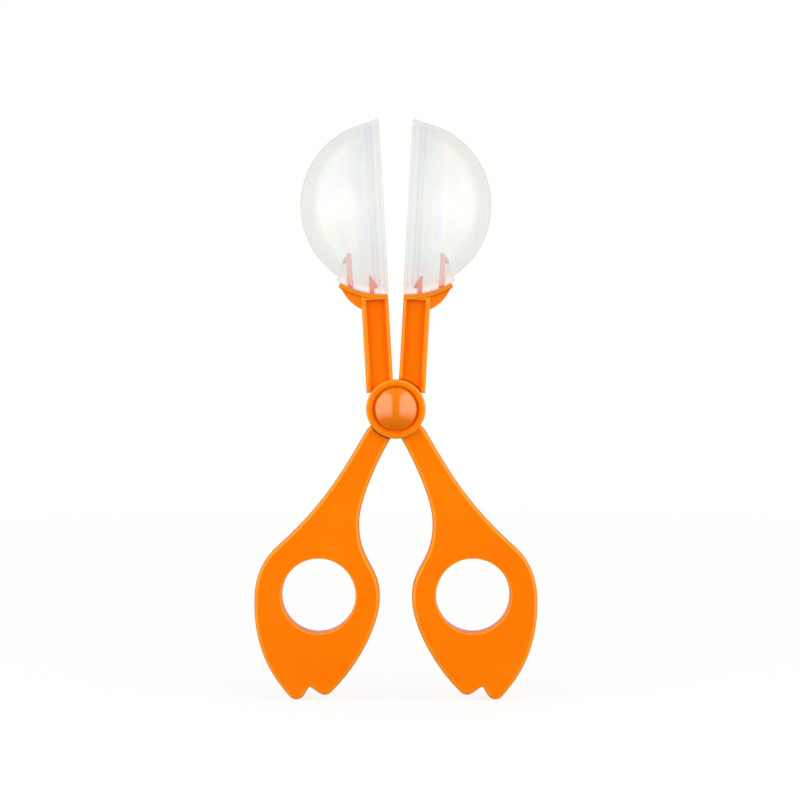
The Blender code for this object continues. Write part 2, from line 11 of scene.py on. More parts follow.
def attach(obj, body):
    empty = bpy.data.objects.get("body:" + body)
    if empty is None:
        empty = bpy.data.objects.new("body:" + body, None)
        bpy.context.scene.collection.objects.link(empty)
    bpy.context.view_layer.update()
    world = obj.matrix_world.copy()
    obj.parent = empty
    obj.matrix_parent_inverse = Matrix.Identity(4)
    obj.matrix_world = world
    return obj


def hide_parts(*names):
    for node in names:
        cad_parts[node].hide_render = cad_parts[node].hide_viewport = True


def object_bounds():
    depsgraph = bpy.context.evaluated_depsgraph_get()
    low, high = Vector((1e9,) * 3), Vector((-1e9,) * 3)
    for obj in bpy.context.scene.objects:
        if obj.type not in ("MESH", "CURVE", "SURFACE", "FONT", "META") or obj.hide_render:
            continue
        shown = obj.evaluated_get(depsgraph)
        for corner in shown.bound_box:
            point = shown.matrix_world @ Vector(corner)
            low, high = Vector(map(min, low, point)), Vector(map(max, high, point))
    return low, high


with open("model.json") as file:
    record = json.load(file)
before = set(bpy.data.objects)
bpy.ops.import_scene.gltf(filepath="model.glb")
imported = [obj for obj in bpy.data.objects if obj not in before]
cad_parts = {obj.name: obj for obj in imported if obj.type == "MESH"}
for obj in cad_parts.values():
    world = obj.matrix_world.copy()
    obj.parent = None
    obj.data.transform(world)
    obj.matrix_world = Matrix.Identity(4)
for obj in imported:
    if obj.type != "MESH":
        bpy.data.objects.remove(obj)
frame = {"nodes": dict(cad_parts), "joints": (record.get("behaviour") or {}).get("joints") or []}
CAD_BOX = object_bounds()

MM = 0.001
HINGE = Vector(frame["joints"][0]["pos_m"])
ARM_SWING = math.radians(3.27)
FRONT_BODY = "front_arm"
REAR_BODY = "rear_arm"

# The cup's design, in the closed position with the hinge as the origin.
CUP_CENTRE_HEIGHT = 61.2 * MM
CUP_RADIUS = 25.25 * MM
CUP_WALL = 1.2 * MM
CUP_RIM_SETBACK = 0.15 * MM
RIM_FLARE_WIDTH = 3.6 * MM
RIM_FLARE_HEIGHT = 0.95 * MM
RIM_LIP = 0.5 * MM
PAD_HEIGHT = 1.25 * MM
PAD_HALF_DEPTH = 3.9 * MM
PAD_INNER_REACH = 0.6 * MM
PAD_OUTER_REACH = 15.4 * MM
SEAT_CLEARANCE = 0.3 * MM
HOOK_HALF_DEPTH = 2.0 * MM
TALL_HOOK_REACH = 10.8 * MM
TALL_HOOK_THICKNESS = 1.6 * MM
SHORT_HOOK_REACH = 4.5 * MM
SHORT_HOOK_THICKNESS = 1.3 * MM
BARB_LENGTH = 1.0 * MM
SLOT_CLEARANCE = 0.3 * MM
SHORT_LATCH_RISE = 1.8 * MM
LATCH_WALL_RISE = 3.8 * MM
LATCH_WALL_THICKNESS = 1.4 * MM
LATCH_WALL_HALF_DEPTH = 3.0 * MM
OVERCUT = 1.0 * MM
CUP_TURN_STEPS = 160
CUP_ARC_STEPS = 40
CURVE_STEPS = 24
LIP_STEPS = 6
FLARE_STEPS = 12

# Edges sharper than these angles in degrees stay sharp.
CUP_SMOOTHING = 30.0
CAD_SMOOTHING = 32.0

# The camera: almost on the hinge's level, square to the front.
CAMERA_DISTANCE = 475 * MM
VIEW_WIDTH = 241 * MM
CAMERA_SIDE = 1.24 * MM
CAMERA_RISE = 2.68 * MM
SENSOR_WIDTH = 36.0
TRANSPARENT_BOUNCES = 24

# Light: an even fill from all round and a large soft lamp on each side.
FILL = 0.57
LAMP_AZIMUTH = 62.0
LAMP_ELEVATION = 14.0
LAMP_DISTANCE = 0.7
LAMP_SIZE = 1.1
LAMP_POWER = 5.3

# What glossy surfaces mirror: a tall panel on each side, a dark gap behind the camera and a pale
# backdrop. The spans are parts of a unit direction over which a panel or the backdrop fades in.
PANEL_LEVEL = 2.7
PANEL_ASIDE = (0.20, 0.34)
PANEL_BACK_END = (0.25, 0.45)
PANEL_TOP = (0.78, 0.94)
PANEL_FOOT = (-0.64, -0.12)
GAP_LEVEL = 0.02
BACKDROP_LEVEL = 0.6
BACKDROP_START = (0.1, 0.6)
WARM_WHITE = (1.0, 1.0, 0.99, 1.0)

# Floor: its height below the object, its size and how its glow grows with distance.
FLOOR_GAP = 0.2 * MM
FLOOR_HALF_SIZE = 3.0
FLOOR_GLOW = (0.83, 0.91)
FLOOR_GLOW_SPAN = (0.15, 1.2)
FLOOR_SEEN = (0.17, 0.17, 0.168, 1.0)
FLOOR_BOUNCE = (0.46, 0.46, 0.455, 1.0)

# Orange polypropylene: its two tones, then its painted highlights on the ribs, saddles and edges,
# its painted shade line where the edges turn, and its colours on the hooks.
ORANGE = (1.0, 0.190, 0.0002, 1.0)
PALE_ORANGE = (1.0, 0.222, 0.0006, 1.0)
# Painted highlight: the rib colour is a paler orange for the light on the ribs' proud faces.
RIB_HIGHLIGHT_ORANGE = (0.98, 0.285, 0.018, 1.0)
# Painted light: the saddle colour is a paler, lit tone of the same orange.
SADDLE_HIGHLIGHT_ORANGE = (0.98, 0.25, 0.010, 1.0)
# Painted highlight: the edge colour is a paler line where the rounded edges catch the side lamps.
EDGE_HIGHLIGHT_ORANGE = (0.93, 0.325, 0.026, 1.0)
# Painted shade: the turn colour is a deeper line where the edges turn away to the sides.
TURN_SHADE_ORANGE = (0.72, 0.19, 0.012, 1.0)
SHORT_HOOK_PINK = (0.95, 0.45, 0.35, 1.0)
TALL_HOOK_PINK = (0.95, 0.66, 0.63, 1.0)
RIB_DEPTHS = (3.1 * MM, 3.5 * MM)
RIB_START = (8.5 * MM, 10.0 * MM)
SADDLE_DEPTHS = (1.3 * MM, 2.0 * MM)
HOOK_SPLIT = (7.0 * MM, 9.0 * MM)

# Levels along a curve, as (place, level): how much of the painted edge highlight and the painted
# turn shade shows against how squarely the surface faces front or back.
EDGE_HIGHLIGHT_LEVELS = ((0.0, 0.0), (0.45, 0.0), (0.62, 1.0), (0.93, 1.0), (0.985, 0.0), (1.0, 0.0))
TURN_SHADE_LEVELS = ((0.0, 0.0), (0.06, 0.0), (0.16, 1.0), (0.36, 1.0), (0.5, 0.0), (1.0, 0.0))

# The polished cap and the zinc-plated screw, each from its darker to its paler tone.
CAP_ORANGE = (0.93, 0.205, 0.004, 1.0)
PALE_CAP_ORANGE = (0.97, 0.225, 0.006, 1.0)
ZINC = (0.52, 0.52, 0.5, 1.0)
PALE_ZINC = (0.68, 0.68, 0.66, 1.0)

# Clear polystyrene: its veil of haze, tints and gloss; its foot veil and foot tint are a painted
# pink reflection of the orange saddle, and its rim veil a painted darker blue-grey shade.
VEIL = (0.64, 0.65, 0.62, 1.0)
WARM_VEIL = (0.69, 0.68, 0.62, 1.0)
# Painted shade: the rim veil is a darker blue-grey for the dark that the thick rim shows.
RIM_SHADE_VEIL = (0.58, 0.61, 0.67, 1.0)
# Painted reflection: the two foot colours below are pink for the orange saddle mirrored in the
# foot.
FOOT_REFLECTION_VEIL = (0.95, 0.68, 0.64, 1.0)
FOOT_REFLECTION_TINT = (1.0, 0.965, 0.962, 1.0)
STRESS_TINTS = ((0.35, (0.985, 0.98, 1.0, 1.0)), (0.5, (0.985, 1.0, 0.985, 1.0)),
                (0.65, (1.0, 0.985, 0.975, 1.0)))
STRESS_STRETCH = (2.4, 1.0, 0.35)
GLOSS_TINT = (1.0, 0.99, 0.93, 1.0)
NEAR_RIM = (6.5 * MM, 10.5 * MM)
RIM_SHOULDER = (1.6 * MM, 3.2 * MM)
OUTER_HAZE = 0.055
SLANT_HAZE = (0.015, 0.10)
NEAR_RIM_HAZE = 0.025
MIRROR_SHARE = (0.021, 0.30)
NEAR_RIM_MIRROR = 0.35

# Haze that the rim's moulded lines add, by distance from the mating plane.
RIM_LINES_SPAN = 5.0 * MM
RIM_LINES = ((0.0, 0.04), (0.9 * MM, 0.01), (1.2 * MM, 0.07), (1.5 * MM, 0.01), (2.5 * MM, 0.01),
             (2.9 * MM, 0.09), (3.3 * MM, 0.01), (3.8 * MM, 0.01), (4.2 * MM, 0.06),
             (4.9 * MM, 0.0), (RIM_LINES_SPAN, 0.0))


def new_object(name, mesh):
    """Turn a bmesh into a linked object."""
    bmesh.ops.recalc_face_normals(mesh, faces=mesh.faces[:])
    data = bpy.data.meshes.new(name)
    mesh.to_mesh(data)
    mesh.free()
    made = bpy.data.objects.new(name, data)
    bpy.context.scene.collection.objects.link(made)
    return made


def prism(outline, y_front, y_back):
    """Solid between two Y planes on an (x, z) outline."""
    mesh = bmesh.new()
    front = [mesh.verts.new((x, y_front, z)) for x, z in outline]
    back = [mesh.verts.new((x, y_back, z)) for x, z in outline]
    mesh.faces.new(front)
    mesh.faces.new(back)
    for index in range(len(outline)):
        after = (index + 1) % len(outline)
        mesh.faces.new((front[index], front[after], back[after], back[index]))
    return new_object("prism", mesh)


def box(x_low, x_high, y_half, z_low, z_high):
    """Upright block centred on the mid plane in depth."""
    outline = [(x_low, z_low), (x_high, z_low), (x_high, z_high), (x_low, z_high)]
    return prism(outline, -y_half, y_half)


def turned(profile, axis, centre, steps):
    """Solid of revolution: profile is a closed loop of (radius, distance along the axis)."""
    mesh = bmesh.new()
    axis = Vector(axis)
    origin = Vector(centre)
    side = Vector((0.0, 0.0, 1.0))
    ring = [mesh.verts.new(origin + side * radius + axis * along) for radius, along in profile]
    edges = [mesh.edges.new((ring[i], ring[(i + 1) % len(ring)])) for i in range(len(ring))]
    bmesh.ops.spin(mesh, geom=ring + edges, cent=origin, axis=axis, angle=math.tau, steps=steps,
                   use_merge=True)
    bmesh.ops.remove_doubles(mesh, verts=mesh.verts[:], dist=0.0001 * MM)
    loose = [edge for edge in mesh.edges if not edge.link_faces]
    bmesh.ops.delete(mesh, geom=loose, context="EDGES")
    return new_object("turned", mesh)


def combine(target, tool, operation):
    """Join or cut target with tool, and use the tool up."""
    modifier = target.modifiers.new(operation, "BOOLEAN")
    modifier.operation = operation
    modifier.solver = "EXACT"
    modifier.object = tool
    graph = bpy.context.evaluated_depsgraph_get()
    result = bpy.data.meshes.new_from_object(target.evaluated_get(graph))
    target.modifiers.clear()
    target.data = result
    bpy.data.objects.remove(tool)


def join(target, tool):
    """Add a tool's solid to the target."""
    combine(target, tool, "UNION")


def cut(target, tool):
    """Take a tool's solid away from the target."""
    combine(target, tool, "DIFFERENCE")


def arc(centre, radius, start, end, steps):
    """Points on a circle in the XZ plane, angles in degrees from +X towards +Z."""
    points = []
    for step in range(steps + 1):
        angle = math.radians(start + (end - start) * step / steps)
        points.append((centre[0] + radius * math.cos(angle), centre[1] + radius * math.sin(angle)))
    return points


def sweep(start, start_heading, start_pull, end, end_heading, end_pull, steps=CURVE_STEPS):
    """Smooth curve between two points on given headings in degrees; the start is left out."""
    leave = Vector((math.cos(math.radians(start_heading)), math.sin(math.radians(start_heading))))
    arrive = Vector((math.cos(math.radians(end_heading)), math.sin(math.radians(end_heading))))
    p0 = Vector(start)
    p3 = Vector(end)
    p1 = p0 + leave * start_pull
    p2 = p3 - arrive * end_pull
    points = []
    for step in range(1, steps + 1):
        t = step / steps
        s = 1.0 - t
        point = p0 * s ** 3 + p1 * 3 * s * s * t + p2 * 3 * s * t * t + p3 * t ** 3
        points.append((point.x, point.y))
    return points


def cup_surface_height(reach, radius, depth=0.0):
    """Height of the lower side of a sphere about the ball's centre."""
    return CUP_CENTRE_HEIGHT - math.sqrt(radius ** 2 - reach ** 2 - depth ** 2)


def cup_angle(reach, radius):
    """Angle in degrees of the point at that reach on the ball's lower left side."""
    return 270.0 - math.degrees(math.asin(reach / radius))


# Radii about the ball's centre that the cup, its foot pad and the saddle share.
CUP_INNER_RADIUS = CUP_RADIUS - CUP_WALL
PAD_RADIUS = CUP_RADIUS + PAD_HEIGHT
SADDLE_RADIUS = PAD_RADIUS + SEAT_CLEARANCE


def swing_matrix(half_turn):
    """From the closed position, hinge at the origin, to an arm's place at rest."""
    turn = Matrix.Rotation(math.pi, 4, "Z") if half_turn else Matrix.Identity(4)
    return Matrix.Translation(HINGE) @ turn @ Matrix.Rotation(-ARM_SWING, 4, "Y")


def shell():
    """Half-round cup wall with its flared rim."""
    rim = CUP_RIM_SETBACK
    flare_end = rim + RIM_FLARE_WIDTH
    wall_start = math.asin(flare_end / CUP_RADIUS)
    lip = arc((CUP_RADIUS + RIM_FLARE_HEIGHT - RIM_LIP, rim + RIM_LIP), RIM_LIP, -90.0, 0.0,
              LIP_STEPS)
    profile = lip
    profile += sweep(lip[-1], 115.0, 0.9 * MM, (CUP_RADIUS * math.cos(wall_start), flare_end),
                     90.0 + math.degrees(wall_start), 1.6 * MM, FLARE_STEPS)
    for radius, low, high in ((CUP_RADIUS, wall_start, math.pi / 2.0),
                              (CUP_INNER_RADIUS, math.pi / 2.0, math.asin(rim / CUP_INNER_RADIUS))):
        first = 1 if radius == CUP_RADIUS else 0
        for step in range(first, CUP_ARC_STEPS + 1):
            angle = low + (high - low) * step / CUP_ARC_STEPS
            profile.append((radius * math.cos(angle), radius * math.sin(angle)))
    return turned(profile, (-1.0, 0.0, 0.0), (0.0, 0.0, CUP_CENTRE_HEIGHT), CUP_TURN_STEPS)


def foot_pad():
    """Block under the cup that sits on the saddle."""
    centre = (0.0, CUP_CENTRE_HEIGHT)
    buried = CUP_INNER_RADIUS + CUP_WALL / 6.0
    outline = arc(centre, PAD_RADIUS, cup_angle(PAD_INNER_REACH, PAD_RADIUS),
                  cup_angle(PAD_OUTER_REACH, PAD_RADIUS), CURVE_STEPS)
    outline += arc(centre, buried, cup_angle(PAD_OUTER_REACH, PAD_RADIUS),
                   cup_angle(PAD_INNER_REACH, PAD_RADIUS), CURVE_STEPS)
    return prism(outline, -PAD_HALF_DEPTH, PAD_HALF_DEPTH)


def latch_wall():
    """Wall inside the cup that the tall hook's barb holds down."""
    near = TALL_HOOK_REACH + TALL_HOOK_THICKNESS + SLOT_CLEARANCE
    far = near + LATCH_WALL_THICKNESS
    outer = cup_surface_height(far, CUP_RADIUS, LATCH_WALL_HALF_DEPTH)
    inner = cup_surface_height(near, CUP_INNER_RADIUS)
    return box(-far, -near, LATCH_WALL_HALF_DEPTH, (outer + inner) / 2.0, inner + LATCH_WALL_RISE)


def cut_slot(target, reach, thickness):
    """Slot through the foot and the wall for one hook."""
    low = cup_surface_height(0.0, SADDLE_RADIUS) - OVERCUT
    high = cup_surface_height(reach + thickness, CUP_INNER_RADIUS, HOOK_HALF_DEPTH) + OVERCUT
    depth = HOOK_HALF_DEPTH + SLOT_CLEARANCE
    cut(target, box(-reach - thickness - SLOT_CLEARANCE, -reach + SLOT_CLEARANCE, depth, low, high))


def cut_barb_pocket(target):
    """Room for the short hook's barb above its ledge."""
    ledge = cup_surface_height(SHORT_HOOK_REACH, SADDLE_RADIUS) + SHORT_LATCH_RISE
    high = cup_surface_height(SHORT_HOOK_REACH, CUP_INNER_RADIUS, HOOK_HALF_DEPTH) + OVERCUT
    depth = HOOK_HALF_DEPTH + SLOT_CLEARANCE
    near = SHORT_HOOK_REACH - BARB_LENGTH - SLOT_CLEARANCE
    cut(target, box(-SHORT_HOOK_REACH, -near, depth, ledge, high))


def smooth(piece, angle):
    """Shade round faces smoothly and leave edges sharper than the angle in degrees."""
    piece.data.shade_smooth()
    piece.data.set_sharp_from_angle(angle=math.radians(angle))


def cup(name, node, body, half_turn, surface):
    """One finely divided cup in place of its CAD node."""
    made = shell()
    join(made, foot_pad())
    join(made, latch_wall())
    cut_slot(made, TALL_HOOK_REACH, TALL_HOOK_THICKNESS)
    cut_slot(made, SHORT_HOOK_REACH, SHORT_HOOK_THICKNESS)
    cut_barb_pocket(made)
    made.name = name
    made.data.name = name
    made.data.transform(swing_matrix(half_turn))
    smooth(made, CUP_SMOOTHING)
    made.data.materials.clear()
    made.data.materials.append(surface)
    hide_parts(node)
    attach(made, body)


# --- Materials ---------------------------------------------------------------------------------

def new_material(name):
    """An empty material, its node tree and its Principled shader."""
    made = bpy.data.materials.new(name)
    made.use_nodes = True
    tree = made.node_tree
    return made, tree, tree.nodes["Principled BSDF"]


def coordinates(tree, kind="Object"):
    """A position or direction as one vector."""
    return tree.nodes.new("ShaderNodeTexCoord").outputs[kind]


def separated(tree, vector):
    """A vector's X, Y and Z outputs."""
    split = tree.nodes.new("ShaderNodeSeparateXYZ")
    tree.links.new(vector, split.inputs["Vector"])
    return split.outputs


def noise(tree, place, scale, detail):
    """Noise in features per metre over the given coordinates."""
    node = tree.nodes.new("ShaderNodeTexNoise")
    node.inputs["Scale"].default_value = scale
    node.inputs["Detail"].default_value = detail
    tree.links.new(place, node.inputs["Vector"])
    return node.outputs["Fac"]


def object_noise(tree, scale, detail):
    """Noise over the piece's own coordinates."""
    return noise(tree, coordinates(tree), scale, detail)


def computed(tree, operation, first, second=None):
    """Math on one or two operands, each a number or another node's output."""
    node = tree.nodes.new("ShaderNodeMath")
    node.operation = operation
    for socket, value in zip(node.inputs, (first, second)):
        if isinstance(value, float):
            socket.default_value = value
        elif value is not None:
            tree.links.new(value, socket)
    return node.outputs["Value"]


def product(tree, first, second):
    """One signal times another signal or a number."""
    return computed(tree, "MULTIPLY", first, second)


def total(tree, first, second):
    """The sum of two signals."""
    return computed(tree, "ADD", first, second)


def ranged(tree, value, low, high, from_low=0.3, from_high=0.7):
    """Map a signal's span onto low to high, and hold it there beyond the span."""
    node = tree.nodes.new("ShaderNodeMapRange")
    node.inputs["From Min"].default_value = from_low
    node.inputs["From Max"].default_value = from_high
    node.inputs["To Min"].default_value = low
    node.inputs["To Max"].default_value = high
    tree.links.new(value, node.inputs["Value"])
    return node.outputs["Result"]


def blended(tree, factor, first, second):
    """Colour that runs from first to second; either may be a colour or another node's output."""
    node = tree.nodes.new("ShaderNodeMix")
    node.data_type = "RGBA"
    tree.links.new(factor, node.inputs["Factor"])
    for socket, value in ((node.inputs["A"], first), (node.inputs["B"], second)):
        if isinstance(value, tuple):
            socket.default_value = value
        else:
            tree.links.new(value, socket)
    return node.outputs["Result"]


def bumped(tree, shader, layers):
    """Stack height layers of (signal, height in metres), lowest first, on the shader's normal."""
    below = None
    for signal, height in layers:
        node = tree.nodes.new("ShaderNodeBump")
        node.inputs["Distance"].default_value = height
        tree.links.new(signal, node.inputs["Height"])
        if below is not None:
            tree.links.new(below, node.inputs["Normal"])
        below = node.outputs["Normal"]
    tree.links.new(below, shader.inputs["Normal"])


def stepped(tree, value, span, levels):
    """Curve over 0 to span through (place, level) pairs."""
    ramp = tree.nodes.new("ShaderNodeValToRGB")
    stops = ramp.color_ramp.elements
    stops[0].position = 0.0
    stops[0].color = (levels[0][1],) * 3 + (1.0,)
    stops[1].position = 1.0
    stops[1].color = (levels[-1][1],) * 3 + (1.0,)
    for distance, level in levels[1:-1]:
        stop = stops.new(distance / span)
        stop.color = (level, level, level, 1.0)
    tree.links.new(ranged(tree, value, 0.0, 1.0, 0.0, span), ramp.inputs["Fac"])
    return ramp.outputs["Color"]


def mixed(tree, share, first, second):
    """Shader that turns from first to second with the share."""
    node = tree.nodes.new("ShaderNodeMixShader")
    for socket, value in zip(node.inputs, (share, first, second)):
        tree.links.new(value, socket)
    return node.outputs["Shader"]


def mirrored_place(tree):
    """Position on a piece with both arms' sides folded onto one, since the arms are alike."""
    place = separated(tree, coordinates(tree))
    joined = tree.nodes.new("ShaderNodeCombineXYZ")
    tree.links.new(computed(tree, "ABSOLUTE", place["X"]), joined.inputs["X"])
    tree.links.new(place["Y"], joined.inputs["Y"])
    tree.links.new(place["Z"], joined.inputs["Z"])
    return joined.outputs["Vector"]


def distance_from_ball(tree):
    """Distance from the centre that a cup's spherical surfaces share."""
    centre = swing_matrix(True) @ Vector((0.0, 0.0, CUP_CENTRE_HEIGHT))
    reach = tree.nodes.new("ShaderNodeVectorMath")
    reach.operation = "DISTANCE"
    reach.inputs[1].default_value = (centre.x, 0.0, centre.z)
    tree.links.new(mirrored_place(tree), reach.inputs[0])
    return reach.outputs["Value"]


def distance_from_rim(tree):
    """Distance from the plane in which the two cups meet."""
    from_hinge = tree.nodes.new("ShaderNodeVectorMath")
    from_hinge.operation = "SUBTRACT"
    from_hinge.inputs[1].default_value = HINGE
    tree.links.new(mirrored_place(tree), from_hinge.inputs[0])
    along = tree.nodes.new("ShaderNodeVectorMath")
    along.operation = "DOT_PRODUCT"
    along.inputs[1].default_value = (math.cos(ARM_SWING), 0.0, -math.sin(ARM_SWING))
    tree.links.new(from_hinge.outputs["Vector"], along.inputs[0])
    return along.outputs["Value"]


def face_turn(tree):
    """1 on an arm's front and back faces, falling over its rounded edges to 0 on its sides."""
    return computed(tree, "ABSOLUTE", separated(tree, coordinates(tree, "Normal"))["Y"])


def hook_signal(tree):
    """1 on the hooks that stand inside a cup, 0 on the rest of an arm."""
    return ranged(tree, distance_from_ball(tree), 1.0, 0.0, PAD_RADIUS - 0.5 * MM, PAD_RADIUS)


def rib_highlight_mask(tree):
    """1 on the proud faces of the upper beams' ribs, 0 on the webs, plates and hub."""
    place = separated(tree, coordinates(tree))
    proud = ranged(tree, computed(tree, "ABSOLUTE", place["Y"]), 0.0, 1.0, *RIB_DEPTHS)
    above = ranged(tree, place["Z"], 0.0, 1.0, HINGE.z + RIB_START[0], HINGE.z + RIB_START[1])
    return product(tree, proud, above)


def saddle_highlight_mask(tree):
    """1 on the saddles and all above them, 0 on the rest of an arm."""
    return ranged(tree, distance_from_ball(tree), 1.0, 0.0, SADDLE_RADIUS + SADDLE_DEPTHS[0],
                  SADDLE_RADIUS + SADDLE_DEPTHS[1])


def orange_plastic():
    """Satin polypropylene with faint flow shading and mould grain.

    The ribs' proud faces, the saddles and the rounded edges are painted paler as painted
    highlights, with a painted deeper shade line where the edges turn to the sides. The thin hooks
    are paler and pinker.
    """
    made, tree, shader = new_material("orange_polypropylene")
    flow = ranged(tree, object_noise(tree, 38.0, 3.0), 0.0, 1.0)
    colour = blended(tree, flow, ORANGE, PALE_ORANGE)
    # Painted highlight: the ribs' proud faces are painted paler than the recessed webs, as if lit.
    colour = blended(tree, rib_highlight_mask(tree), colour, RIB_HIGHLIGHT_ORANGE)
    # Painted light: the saddles are painted a paler, lit tone of the same orange.
    colour = blended(tree, saddle_highlight_mask(tree), colour, SADDLE_HIGHLIGHT_ORANGE)
    # Painted highlight: a paler line over the rounded edges, where they catch the side lamps.
    colour = blended(tree, stepped(tree, face_turn(tree), 1.0, EDGE_HIGHLIGHT_LEVELS), colour, EDGE_HIGHLIGHT_ORANGE)
    # Painted shade: a deeper line where the edges turn away to the sides.
    colour = blended(tree, stepped(tree, face_turn(tree), 1.0, TURN_SHADE_LEVELS), colour, TURN_SHADE_ORANGE)
    reach = ranged(tree, distance_from_rim(tree), 0.0, 1.0, *HOOK_SPLIT)
    hook = blended(tree, reach, SHORT_HOOK_PINK, TALL_HOOK_PINK)
    colour = blended(tree, hook_signal(tree), colour, hook)
    tree.links.new(colour, shader.inputs["Base Color"])
    satin = ranged(tree, object_noise(tree, 700.0, 4.0), 0.28, 0.38)
    tree.links.new(satin, shader.inputs["Roughness"])
    shader.inputs["IOR"].default_value = 1.49
    shader.inputs["Specular IOR Level"].default_value = 0.35
    shader.inputs["Specular Tint"].default_value = (1.0, 0.5, 0.15, 1.0)
    grain = object_noise(tree, 2600.0, 3.0)
    waves = object_noise(tree, 160.0, 1.0)
    bumped(tree, shader, [(grain, 0.004 * MM), (waves, 0.015 * MM)])
    return made


def polished_orange():
    """The cap's polished face: the same colour a little redder, with mirror reflections."""
    made, tree, shader = new_material("polished_orange")
    flow = ranged(tree, object_noise(tree, 180.0, 2.0), 0.0, 1.0)
    colour = blended(tree, flow, CAP_ORANGE, PALE_CAP_ORANGE)
    tree.links.new(colour, shader.inputs["Base Color"])
    polish = ranged(tree, object_noise(tree, 900.0, 3.0), 0.06, 0.10)
    tree.links.new(polish, shader.inputs["Roughness"])
    shader.inputs["IOR"].default_value = 1.62
    bumped(tree, shader, [(object_noise(tree, 260.0, 1.0), 0.01 * MM)])
    return made


def foot_signal(tree):
    """1 on a cup's foot pad, 0 on the rest of the cup."""
    proud = ranged(tree, distance_from_ball(tree), 0.0, 1.0, CUP_RADIUS - 0.1 * MM,
                   CUP_RADIUS + 0.1 * MM)
    foot_top = HINGE.z + CUP_CENTRE_HEIGHT - 0.8 * CUP_RADIUS
    low = ranged(tree, separated(tree, coordinates(tree))["Z"], 1.0, 0.0, foot_top, foot_top + MM)
    return product(tree, proud, low)


def stress_tints(tree):
    """The faint colours of stress in moulded polystyrene, in stretched streaks."""
    stretch = tree.nodes.new("ShaderNodeMapping")
    stretch.inputs["Scale"].default_value = STRESS_STRETCH
    tree.links.new(coordinates(tree), stretch.inputs["Vector"])
    ramp = tree.nodes.new("ShaderNodeValToRGB")
    stops = ramp.color_ramp.elements
    stops.new(STRESS_TINTS[1][0])
    for stop, (place, tint) in zip(stops, STRESS_TINTS):
        stop.position = place
        stop.color = tint
    tree.links.new(noise(tree, stretch.outputs["Vector"], 90.0, 1.0), ramp.inputs["Fac"])
    return ramp.outputs["Color"]


def clear_plastic():
    """Clear polystyrene that doesn't bend the view: light passes straight through with faint
    stress tints, under a veil of haze and a mirror gloss. The veil near the rim is painted a darker
    blue-grey shade, and the foot pad's veil and tint are a painted pink reflection of the orange
    saddle.

    The outer surface carries nearly all of the haze and the grazing gloss, because in a real thin
    wall the inner surface hardly shows.
    """
    made, tree, veil = new_material("clear_polystyrene")
    near_rim = ranged(tree, distance_from_rim(tree), 1.0, 0.0, *NEAR_RIM)
    foot = foot_signal(tree)

    veil.inputs["Roughness"].default_value = 0.5
    veil.inputs["Specular IOR Level"].default_value = 0.0
    tone = ranged(tree, object_noise(tree, 55.0, 1.0), 0.0, 1.0)
    colour = blended(tree, tone, VEIL, WARM_VEIL)
    # Painted shade: near the rim the veil is painted a darker blue-grey, for the dark the rim
    # shows.
    colour = blended(tree, near_rim, colour, RIM_SHADE_VEIL)
    # Painted reflection: the foot pad's veil is painted pink for the orange saddle that it mirrors.
    tree.links.new(blended(tree, foot, colour, FOOT_REFLECTION_VEIL), veil.inputs["Base Color"])

    clear = tree.nodes.new("ShaderNodeBsdfTransparent")
    # Painted reflection: what shows through the foot pad is tinted pink for the mirrored orange
    # saddle.
    tree.links.new(blended(tree, foot, stress_tints(tree), FOOT_REFLECTION_TINT), clear.inputs["Color"])

    gloss = tree.nodes.new("ShaderNodeBsdfGlossy")
    gloss.inputs["Color"].default_value = GLOSS_TINT
    polish = ranged(tree, object_noise(tree, 300.0, 2.0), 0.03, 0.09)
    tree.links.new(polish, gloss.inputs["Roughness"])
    bumped(tree, gloss, [(object_noise(tree, 90.0, 2.0), 0.03 * MM)])

    slant = tree.nodes.new("ShaderNodeLayerWeight")
    slant.inputs["Blend"].default_value = 0.5
    outside = ranged(tree, distance_from_ball(tree), 0.0, 1.0, CUP_RADIUS - 0.8 * MM,
                     CUP_RADIUS - 0.5 * MM)
    tilt = product(tree, slant.outputs["Facing"], outside)
    slant_haze = ranged(tree, tilt, *SLANT_HAZE, 0.0, 1.0)
    haze = total(tree, product(tree, outside, OUTER_HAZE), slant_haze)
    haze = product(tree, haze, ranged(tree, object_noise(tree, 420.0, 4.0), 0.9, 1.1))
    shoulder = ranged(tree, distance_from_rim(tree), 0.0, 1.0, *RIM_SHOULDER)
    haze = total(tree, haze, product(tree, product(tree, near_rim, NEAR_RIM_HAZE), shoulder))
    haze = total(tree, haze, stepped(tree, distance_from_rim(tree), RIM_LINES_SPAN, RIM_LINES))

    mirror = ranged(tree, computed(tree, "POWER", tilt, 5.0), *MIRROR_SHARE, 0.0, 1.0)
    mirror = product(tree, mirror, ranged(tree, near_rim, 1.0, NEAR_RIM_MIRROR, 0.0, 1.0))

    body = mixed(tree, haze, clear.outputs["BSDF"], veil.outputs["BSDF"])
    surface = mixed(tree, mirror, body, gloss.outputs["BSDF"])
    tree.links.new(surface, tree.nodes["Material Output"].inputs["Surface"])
    return made


def screw_steel():
    """Zinc-plated steel with fine turning marks."""
    made, tree, shader = new_material("zinc_plated_steel")
    tone = ranged(tree, object_noise(tree, 900.0, 3.0), 0.0, 1.0)
    colour = blended(tree, tone, ZINC, PALE_ZINC)
    tree.links.new(colour, shader.inputs["Base Color"])
    shader.inputs["Metallic"].default_value = 1.0
    wear = ranged(tree, object_noise(tree, 2500.0, 3.0), 0.22, 0.4)
    tree.links.new(wear, shader.inputs["Roughness"])
    bumped(tree, shader, [(object_noise(tree, 4000.0, 2.0), 0.004 * MM)])
    return made


# --- Studio ------------------------------------------------------------------------------------

